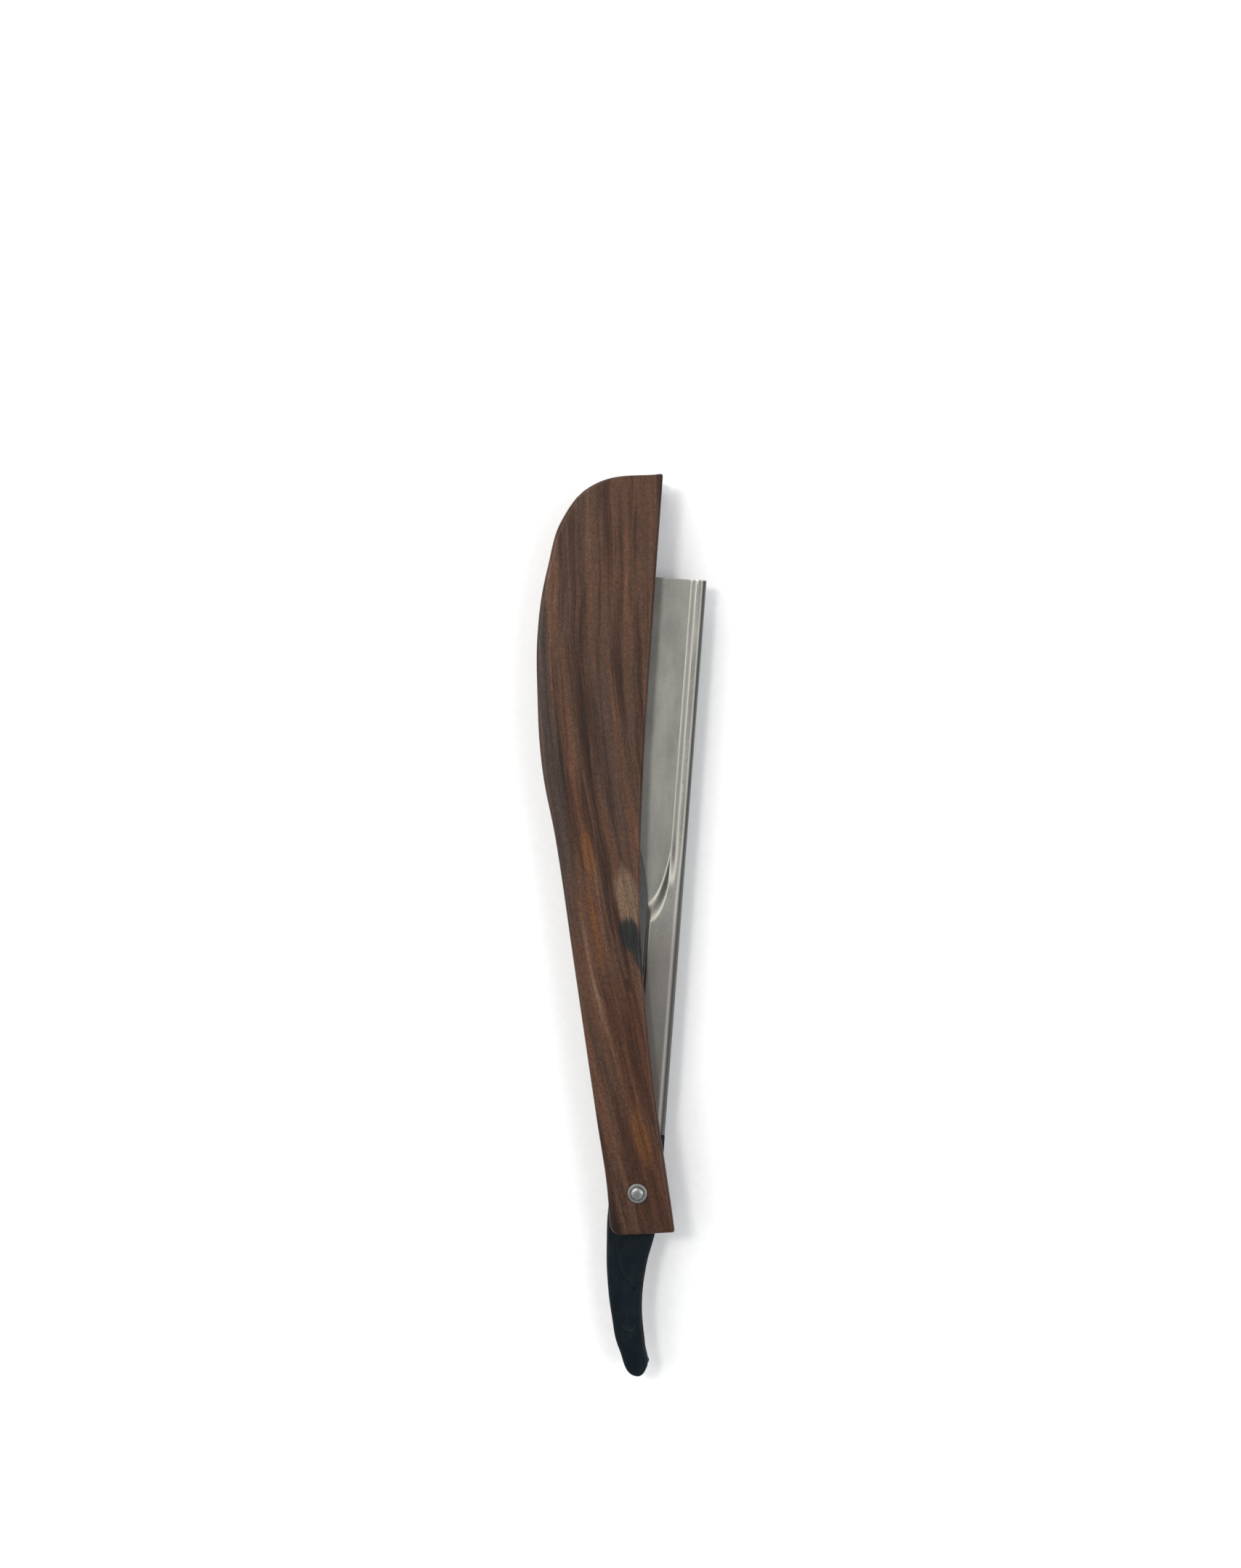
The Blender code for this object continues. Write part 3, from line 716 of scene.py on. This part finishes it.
def rivet_aluminium():
    """Peened aluminium, dull where the hammer missed it, with painted shade in the crack round the head
    and at the washer's rim.
    """
    rivet = Recipe("rivet_aluminium", 7)
    radius = rivet.radius()
    mottle = rivet.noise(rivet.place, (0.45, 0.45, 0.45), 3.0, 0.6)
    grit = rivet.noise(rivet.place, (0.07, 0.07, 0.07), 2.0, 0.6)
    greys = ((0.150, 0.156, 0.150), (0.225, 0.232, 0.222), (0.310, 0.318, 0.305))
    colour = rivet.colours(mottle, zip((0.28, 0.50, 0.72), greys))
    # Painted shade in the crack round the head and at the washer's rim
    off_crack = rivet.math("ABSOLUTE", rivet.math("SUBTRACT", radius, HEAD_CRACK_SHADE))
    crack = rivet.ramp(off_crack, 0.03, 0.20, 1.0, 0.0)
    painted_shade = rivet.math("MAXIMUM", crack, rivet.ramp(radius, *WASHER_RIM_SHADE))
    colour = rivet.blend(rivet.math("MULTIPLY", painted_shade, 0.62), colour, (0.06, 0.055, 0.05))
    dull = rivet.ramp(mottle, 0.25, 0.75, 0.44, 0.28)
    roughness = rivet.math("ADD", dull, rivet.math("MULTIPLY", painted_shade, 0.2))
    normal = rivet.bump(mottle, 0.05 * MM, 0.6)
    normal = rivet.bump(grit, 0.006 * MM, 0.6, normal)
    return rivet.finish(colour, roughness, normal, Metallic=1.0)


def black_plastic():
    """Moulded black plastic with a faint grained skin and edges rubbed a little paler."""
    plastic = Recipe("black_plastic", 11)
    skin = plastic.noise(plastic.place, (0.10, 0.10, 0.10), 2.0, 0.6)
    flow = plastic.noise(plastic.place, (1.3, 7.0, 2.0), 3.0, 0.55, 0.6)
    rubbed = plastic.noise(plastic.place, (2.4, 3.2, 2.4), 3.0, 0.6)
    blacks = ((0.0010, 0.0034, 0.0052), (0.0017, 0.0052, 0.0078), (0.0030, 0.0078, 0.0112))
    colour = plastic.colours(flow, zip((0.30, 0.55, 0.75), blacks))
    patchy = plastic.ramp(rubbed, 0.35, 0.65, 0.2, 1.0)
    worn = plastic.math("MULTIPLY", plastic.attribute("wear"), patchy)
    colour = plastic.blend(plastic.math("MULTIPLY", worn, 0.35), colour, (0.014, 0.020, 0.024))
    grained = plastic.ramp(skin, 0.3, 0.7, -0.03, 0.03)
    roughness = plastic.math("ADD", plastic.ramp(rubbed, 0.3, 0.7, 0.30, 0.42), grained)
    normal = plastic.bump(skin, 0.006 * MM, 0.5)
    normal = plastic.bump(flow, 0.05 * MM, 0.35, normal)
    return plastic.finish(colour, roughness, normal, Specular_IOR_Level=0.15)


def nylon():
    """Off-white washers, greyed round the rim by the steel and oil beside them."""
    washer = Recipe("nylon", 13)
    radius = washer.radius()
    mottle = washer.noise(washer.place, (0.8, 0.8, 0.8), 3.0, 0.6)
    colour = washer.colours(mottle, ((0.30, (0.58, 0.56, 0.48)), (0.70, (0.74, 0.72, 0.64))))
    soiled = washer.math("MULTIPLY", washer.ramp(radius, 3.2, 4.0), washer.ramp(mottle, 0.35, 0.65))
    colour = washer.blend(washer.math("MULTIPLY", soiled, 0.5), colour, (0.22, 0.19, 0.15))
    roughness = washer.ramp(mottle, 0.3, 0.7, 0.42, 0.55)
    return washer.finish(colour, roughness, washer.bump(mottle, 0.01 * MM, 0.4))


# ---------------------------------------------------------------- handle pieces


def handle_outline():
    nose_to_foot = [(across, share * HANDLE_REACH) for share, across in OPEN_EDGE]
    foot_to_nose = [(-across * BELLY_DEPTH, share * HANDLE_REACH) for share, across in BACK_EDGE]
    centre_x = FOOT_RADIUS - FOOT_BACK
    centre_y = FOOT_RADIUS - HANDLE_FOOT - FOOT_SLANT
    turns = [pi * (1.5 - step / 12) for step in range(7)]
    foot_corner = [
        (centre_x + FOOT_RADIUS * cos(turn), centre_y + FOOT_RADIUS * sin(turn)) for turn in turns
    ]
    return traced(
        [
            *corners([(OPEN_NOSE_CORNER, HANDLE_REACH)]),
            *smooth(nose_to_foot),
            *corners([(OPEN_FOOT_CORNER, -HANDLE_FOOT)]),
            (*foot_corner[0], "VECTOR", "AUTO"),
            *smooth(foot_corner[1:]),
            *smooth(foot_to_nose),
        ]
    )


def washer_size(node):
    """Outer radius and the two heights of a washer in the row frame."""
    low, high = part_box(node)
    return (high.x - low.x) / 2, low.z, high.z


def scale(name, node, washer, outer_side, material):
    low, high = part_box(node)
    top = outer_side > 0
    rims = (INNER_RIM, SCALE_RIM) if top else (SCALE_RIM, INNER_RIM)
    item = plate(name, handle_outline(), low.z, high.z, *rims, corner_radius=SCALE_CORNER)
    washer_radius, washer_low, washer_high = washer_size(washer)
    seat_floor = washer_low - CONTACT_GAP if top else washer_high + CONTACT_GAP
    beyond = seat_floor + outer_side * OVERCUT
    bore = plate("bore", circle(0, 0, BORE_RADIUS), low.z - OVERCUT, high.z + OVERCUT)
    seat_outline = circle(0, 0, washer_radius + SEAT_CLEARANCE)
    seat = plate("seat", seat_outline, min(seat_floor, beyond), max(seat_floor, beyond))
    combine(item, [bore, seat])
    shade(item)
    return stands_for(item, node, "handle", "rosewood", material)


def nose_spacer(material):
    item = plate(
        "nose_spacer_wood", handle_outline(), spacer_low.z, spacer_high.z, corner_radius=SCALE_CORNER
    )
    inner = spacer_high.x
    foot = spacer_low.y
    above = 1.1 * HANDLE_REACH
    wedge = corners([(inner, above), (-2 * BELLY_DEPTH, above), (-2 * BELLY_DEPTH, foot)])
    wedge += corners([(-BELLY_DEPTH, foot)])
    wedge += smooth([(mix(-BELLY_DEPTH, inner, 0.75), mix(foot, HANDLE_REACH, 0.45))])
    keep = plate("keep", traced(wedge), spacer_low.z - OVERCUT, spacer_high.z + OVERCUT)
    combine(item, [keep], "INTERSECT")
    shade(item)
    return stands_for(item, "nose_spacer", "handle", "rosewood", material)


def pivot_pin(material):
    """The rivet; both heads are peened, so their domes carry shallow hammer marks."""
    half = (pin_high.z - pin_low.z) / 2
    dome = []
    for step in range(DOME_STEPS + 1):
        turn = pi / 2 * step / DOME_STEPS
        fall = 1 - max(cos(turn), 0.0) ** DOME_FLATNESS
        dome.append((HEAD_RADIUS * sin(turn) ** DOME_SPREAD, half - DOME_SHARE * HEAD_HEIGHT * fall))
    dome += [(HEAD_RADIUS, half - 0.92 * HEAD_HEIGHT), (HEAD_RADIUS - 0.05 * MM, half - HEAD_HEIGHT)]
    dome += [(PIN_RADIUS, half - HEAD_HEIGHT)]
    profile = dome + [(radius, -height) for radius, height in reversed(dome)]
    item = turned("pivot_pin_peened", profile)
    for vertex in item.data.vertices:
        on_dome = smoothstep(abs(vertex.co.z), half - HEAD_HEIGHT, half - 0.5 * HEAD_HEIGHT)
        coarse, fine = (noise.noise(vertex.co * scale_up) for scale_up in DENTS_PER_METRE)
        depth = DENT_DEPTH * on_dome * max(0.5 * coarse + 0.25 * fine + 0.15, 0.0)
        vertex.co.z -= depth if vertex.co.z > 0 else -depth
    item.data.transform(Matrix.Translation((0, 0, (pin_high.z + pin_low.z) / 2)))
    shade(item, 50)
    return stands_for(item, "pivot_pin", "handle", "rivet_aluminium", material)


def washer(name, node, slot, edge, material):
    """A flat ring whose edges are rounded over by the given radius."""
    outer, low, high = washer_size(node)
    turns = [pi / 8 * step for step in range(5)]
    over = [(outer - edge * (1 - sin(turn)), high - edge * (1 - cos(turn))) for turn in turns]
    under = [(outer - edge * (1 - cos(turn)), low + edge * (1 - sin(turn))) for turn in turns]
    inside = [(BORE_RADIUS, low), (BORE_RADIUS, high)]
    item = turned(name, over + under + inside, closed=True)
    shade(item)
    return stands_for(item, node, "handle", slot, material)


# ---------------------------------------------------------------- arm, holder and blade


def arm(material):
    half = ARM_THICKNESS / 2
    shank_edge = SPINE_OFFSET - SHANK_WIDTH + SHEET
    seat = SHANK_START - CONTACT_GAP
    tail_up = [(across * MM, -share * TAIL_LENGTH) for share, across in TAIL_SPINE_SIDE]
    tail_down = [(across * MM, -share * TAIL_LENGTH) for share, across in TAIL_EDGE_SIDE]
    outline = [
        *smooth([(TAIL_TIP * MM, -TAIL_LENGTH)]),
        *smooth(tail_up),
        *smooth([(SPINE_OFFSET, 0.0)]),
        *corners([(SPINE_OFFSET, seat), (shank_edge, seat)]),
        *smooth([(-EYE_SIDE * MM, 0.4 * SHANK_START)]),
        *smooth(tail_down),
    ]
    item = plate(
        "arm_moulding", traced(outline), -half, half, ARM_RIM, ARM_RIM, 0.2 * MM, belt=PARTING_LINE
    )

    gap = SHEET + CONTACT_GAP
    right = SPINE_OFFSET - gap
    left = right - (SHANK_WIDTH - 2 * gap)
    tongue_half = half - gap
    sides = [(left, SHANK_START / 2), (right, SHANK_START / 2), (right, TONGUE_END), (left, TONGUE_END)]
    round_edge = TONGUE_ROUNDING * tongue_half
    rounding = (round_edge, round_edge, 6)
    sides = [Vector(side) for side in sides]
    tongue = plate("tongue", sides, -tongue_half, tongue_half, rounding, rounding, 0.3 * MM)

    mark = [(0.30, 0.0), (0.36, -0.06), (0.36, -0.30), (0.18, -0.30), (0.18, -0.06), (0.24, 0.0)]
    ring = turned("mark", [(r * MM, z * MM) for r, z in mark], 36, closed=True)
    ring.data.transform(Matrix.Translation((MOULD_MARK[0] * MM, MOULD_MARK[1] * MM, half + 0.06 * MM)))
    steps = 10
    turns = [pi * step / steps for step in range(steps + 1)]
    lump = [(sin(turn) * MM, cos(turn) * MM) for turn in turns]
    lump[0] = (0, MM)
    lump[-1] = (0, -MM)
    gate = turned("gate", lump, 24)
    gate.data.transform(Matrix.Diagonal((*GATE_SIZE, 1.0)))
    gate.data.transform(Matrix.Translation((GATE_PLACE[0] * MM, GATE_PLACE[1] * MM, 0)))
    combine(item, [tongue, ring, gate], "UNION")

    panel_points = [
        *corners(PANEL_TOP, MM),
        *smooth([PANEL_SPINE_SIDE], MM),
        *corners([PANEL_POINT], MM),
        *smooth(PANEL_EDGE_SIDE, MM),
    ]
    panel_outline = traced(panel_points, 16)
    dot_outline = circle(DOT_PLACE[0] * MM, DOT_PLACE[1] * MM, DOT_RADIUS)
    tools = [plate("bore", circle(0, 0, BORE_RADIUS), -2 * half, 2 * half)]
    for outline_here in (panel_outline, dot_outline):
        floor = half - RECESS_DEPTH
        tools.append(plate("front_recess", outline_here, floor, 2 * half, RECESS_FILLET, None))
        tools.append(plate("rear_recess", outline_here, -2 * half, -floor, None, RECESS_FILLET))
    combine(item, tools)
    shade(item, 40)
    return stands_for(item, "arm", "arm", "black_plastic", material, in_arm=True)


def half_section(y):
    """Front half of the holder's outer surface at y, from the free edge to the spine."""
    shank_edge = SPINE_OFFSET - SHANK_WIDTH
    leaf_height = SHEET + BLADE_SLOT / 2
    shank_height = ARM_THICKNESS / 2
    widened = smoothstep(y, HEEL_START, HEEL_START + HEEL_LENGTH)
    thinned = smoothstep(y, PRESS_START, PRESS_START + BEAD_TAPER)
    bead = mix(shank_height, BEAD_THICKNESS / 2, thinned)
    valley_end = SPINE_OFFSET - BEAD_WIDTH
    valley_start = valley_end - VALLEY_WIDTH
    from_tip = max(y - (HOLDER_END - TIP_RADIUS), 0.0)
    tip_inset = TIP_RADIUS - sqrt(max(TIP_RADIUS**2 - from_tip**2, 0.0))

    def pressed(x):
        """How far the sheet is pressed flat at x; the dip runs on a curve across the sheet."""
        across = min(max((x - shank_edge) / (valley_start - shank_edge), 0.0), 1.0)
        start = PRESS_START + PRESS_SLANT * across + PRESS_CURL * across**4
        end = start + PRESS_RAMP * (PRESS_STRETCH + across**2)
        return smoothstep(y, start - PRESS_LEAD, end)

    lip = [(shank_edge, SEAM_GAP / 2)]
    lip_steps = 7
    for step in range(lip_steps + 1):
        angle = pi - pi / 2 * step / lip_steps
        x = shank_edge + LIP_RADIUS * (1 + cos(angle))
        lip.append((x, shank_height + LIP_RADIUS * (sin(angle) - 1)))
    leaf_start = HOLDER_EDGE + tip_inset
    flat_start = lip[-1][0]
    points = []
    for number, (x, z) in enumerate(lip):
        leaf_x = mix(leaf_start, flat_start, number / (len(lip) - 1))
        points.append((mix(x, leaf_x, widened), mix(z, leaf_height, pressed(x))))
    flats = 22
    for step in range(1, flats + 1):
        x = mix(valley_start, flat_start, (1 - step / flats) ** 1.5)
        points.append((x, mix(bead, leaf_height, pressed(x))))
    slopes = 9
    for step in range(1, slopes + 1):
        x = mix(valley_start, valley_end, step / slopes)
        valley = mix(leaf_height, bead, mix(step / slopes, smoothstep(step, 0, slopes), 0.6))
        points.append((x, mix(bead, valley, pressed(x))))
    turns = 16
    for step in range(turns + 1):
        angle = pi / 2 * (1 - step / turns)
        points.append((SPINE_OFFSET - bead * (1 - cos(angle)), bead * sin(angle)))
    return points


def blade_holder(material):
    """One sheet folded round the spine: a tube on the tongue, then two leaves on the blade."""

    def evenly(start, end, steps):
        return [mix(start, end, step / steps) for step in range(steps)]

    tip_start = HOLDER_END - TIP_RADIUS
    rows = evenly(SHANK_START, PRESS_START, 16) + evenly(PRESS_START, HEEL_START + HEEL_LENGTH, 90)
    rows += evenly(HEEL_START + HEEL_LENGTH, tip_start, 16)
    rows += [tip_start + TIP_RADIUS * sin(pi / 2 * step / 8) for step in range(9)]
    work = bmesh.new()
    sections = [[work.verts.new((x, y, z)) for x, z in half_section(y)] for y in rows]
    for lower, upper in zip(sections, sections[1:]):
        for column in range(len(lower) - 1):
            work.faces.new((lower[column], lower[column + 1], upper[column + 1], upper[column]))
    mesh = bpy.data.meshes.new("blade_holder_sheet")
    work.to_mesh(mesh)
    work.free()
    item = new_object("blade_holder_sheet", mesh)
    mirror = item.modifiers.new("Rear half", "MIRROR")
    mirror.use_axis = (False, False, True)
    mirror.merge_threshold = 1e-6
    sheet = item.modifiers.new("Sheet", "SOLIDIFY")
    sheet.thickness = SHEET
    sheet.offset = -1
    sheet.use_even_offset = True
    burr = item.modifiers.new("Broken edges", "BEVEL")
    burr.width = SHEET_BURR
    burr.segments = 2
    burr.limit_method = "ANGLE"
    burr.angle_limit = radians(60)
    settle(item)
    shade(item, 40)
    return stands_for(item, "blade_holder", "holder", "brushed_steel", material, in_arm=True)


def half_blade(material):
    edge = blade_low.x
    back = blade_high.x
    middle = (blade_low.y + blade_high.y) / 2
    length = blade_high.y - blade_low.y
    half = (blade_high.z - blade_low.z) / 2
    key = KEY_LENGTH / 2
    half_outline = [
        (edge, length / 2 - TAB_LENGTH),
        (edge + TAB_INSET, length / 2 - TAB_LENGTH),
        (edge + TAB_INSET, length / 2),
        (back, length / 2),
        (back, key),
        (back - KEY_HALF_WIDTH, key),
        (back - KEY_HALF_WIDTH, key / 4),
        (back - 2 * KEY_HALF_WIDTH, key / 4),
    ]
    upper = [(x, middle + y) for x, y in half_outline]
    lower = [(x, middle - y) for x, y in reversed(half_outline)]
    outline = traced(corners(upper + lower), 4)
    item = plate("half_blade_strip", outline, -half, half, corner_radius=0.25 * MM)
    work = bmesh.new()
    work.from_mesh(item.data)
    for across in (GRIND_WIDTH, EDGE_WIDTH):
        parts = work.verts[:] + work.edges[:] + work.faces[:]
        cut = (edge + across, 0, 0)
        bmesh.ops.bisect_plane(work, geom=parts, plane_co=cut, plane_no=(1, 0, 0), dist=1e-7)
    for vert in work.verts:
        inside = vert.co.x - edge
        if inside < EDGE_WIDTH - 1e-6:
            vert.co.z *= mix(EDGE_SHARE, SHOULDER_SHARE, max(inside, 0.0) / EDGE_WIDTH)
        elif inside < GRIND_WIDTH - 1e-6:
            up_grind = (inside - EDGE_WIDTH) / (GRIND_WIDTH - EDGE_WIDTH)
            vert.co.z *= mix(SHOULDER_SHARE, 1.0, up_grind)
    work.to_mesh(item.data)
    work.free()
    item.data.shade_smooth()
    item.data.set_sharp_from_angle(angle=radians(2))
    return stands_for(item, "half_blade", "blade", "blade_steel", material, in_arm=True)


# ---------------------------------------------------------------- floor, lights and camera


def floor():
    work = bmesh.new()
    bmesh.ops.create_grid(work, x_segments=4, y_segments=4, size=2.5)
    mesh = bpy.data.meshes.new("floor")
    work.to_mesh(mesh)
    work.free()
    item = new_object("floor", mesh)
    item.location.z = -0.02 * MM
    paper = Recipe("floor_paper", 17)
    fibre = paper.noise(paper.place, (1.2, 1.2, 1.2), 3.0, 0.6)
    colour = paper.colours(fibre, ((0.30, (0.80, 0.80, 0.80)), (0.70, (0.83, 0.83, 0.83))))
    mesh.materials.append(paper.finish(colour, paper.ramp(fibre, 0.3, 0.7, 0.80, 0.90)))
    return item


def area_light(name, place, target, size, power, colour=(1.0, 1.0, 1.0)):
    data = bpy.data.lights.new(name, "AREA")
    data.shape = "RECTANGLE"
    data.size, data.size_y = size
    data.energy = power
    data.color = colour
    item = new_object(name, data)
    item.location = place
    direction = Vector(target) - Vector(place)
    item.rotation_euler = direction.to_track_quat("-Z", "Y").to_euler()
    return item


# Strength of the sky, against the sine of the angle above the horizon
SKY = ((0.0, 0.30), (0.35, 0.30), (0.60, 0.95), (0.84, 0.85), (0.98, 0.26))


def studio():
    """A small soft key nearly overhead, three wide panels, and a sky that is dim straight above."""
    aim = (0, 0.07, 0)
    area_light("key", (-0.31, 0.27, 0.90), aim, (0.16, 0.16), 2.9, (1.0, 0.965, 0.90))
    area_light("far_panel", (-0.35, 0.75, 0.38), aim, (0.50, 0.40), 2.5)
    area_light("left_panel", (-0.60, 0.20, 0.55), aim, (0.60, 0.60), 3.0)
    area_light("right_panel", (0.50, 0.05, 0.80), aim, (0.50, 0.50), 3.0, (0.97, 0.985, 1.0))
    world = bpy.data.worlds.new("studio")
    world.use_nodes = True
    nodes, links = world.node_tree.nodes, world.node_tree.links
    direction = nodes.new("ShaderNodeTexCoord")
    split = nodes.new("ShaderNodeSeparateXYZ")
    sky = nodes.new("ShaderNodeValToRGB")
    set_stops(sky.color_ramp.elements, [(height, [strength] * 3) for height, strength in SKY])
    links.new(direction.outputs["Generated"], split.inputs[0])
    links.new(split.outputs["Z"], sky.inputs[0])
    links.new(sky.outputs[0], nodes["Background"].inputs["Strength"])
    nodes["Background"].inputs["Color"].default_value = (0.95, 0.97, 1.0, 1.0)
    bpy.context.scene.world = world


VIEW_LENGTH = 308 * MM  # what the picture's long side spans at the front scale
VIEW_CENTRE = (-3.3 * MM, 80.4 * MM)


def camera():
    """Straight above the razor."""
    data = bpy.data.cameras.new("camera")
    data.lens = 50
    data.sensor_width = 36
    item = new_object("camera", data)
    item.location = (*VIEW_CENTRE, front_high.z + VIEW_LENGTH * data.lens / data.sensor_width)
    bpy.context.scene.camera = item


# ---------------------------------------------------------------- the razor

front_wood = rosewood("rosewood_front", 1, FRONT_FIGURE)
rear_wood = rosewood("rosewood_rear", 2, REAR_FIGURE)
spacer_wood = rosewood("rosewood_spacer", 4, SPACER_FIGURE)
aluminium = rivet_aluminium()
white_nylon = nylon()

scale("front_scale_wood", "front_scale", "front_rivet_washer", 1, front_wood)
scale("rear_scale_wood", "rear_scale", "rear_rivet_washer", -1, rear_wood)
nose_spacer(spacer_wood)
pivot_pin(aluminium)
for side in ("front", "rear"):
    rivet_node = side + "_rivet_washer"
    thrust_node = side + "_thrust_washer"
    washer(rivet_node + "_turned", rivet_node, "rivet_aluminium", 0.12 * MM, aluminium)
    washer(thrust_node + "_cut", thrust_node, "nylon", 0.05 * MM, white_nylon)
arm(black_plastic())
blade_holder(brushed_steel())
half_blade(blade_steel())

floor()
studio()
camera()
bpy.context.scene.view_settings.view_transform = "Standard"
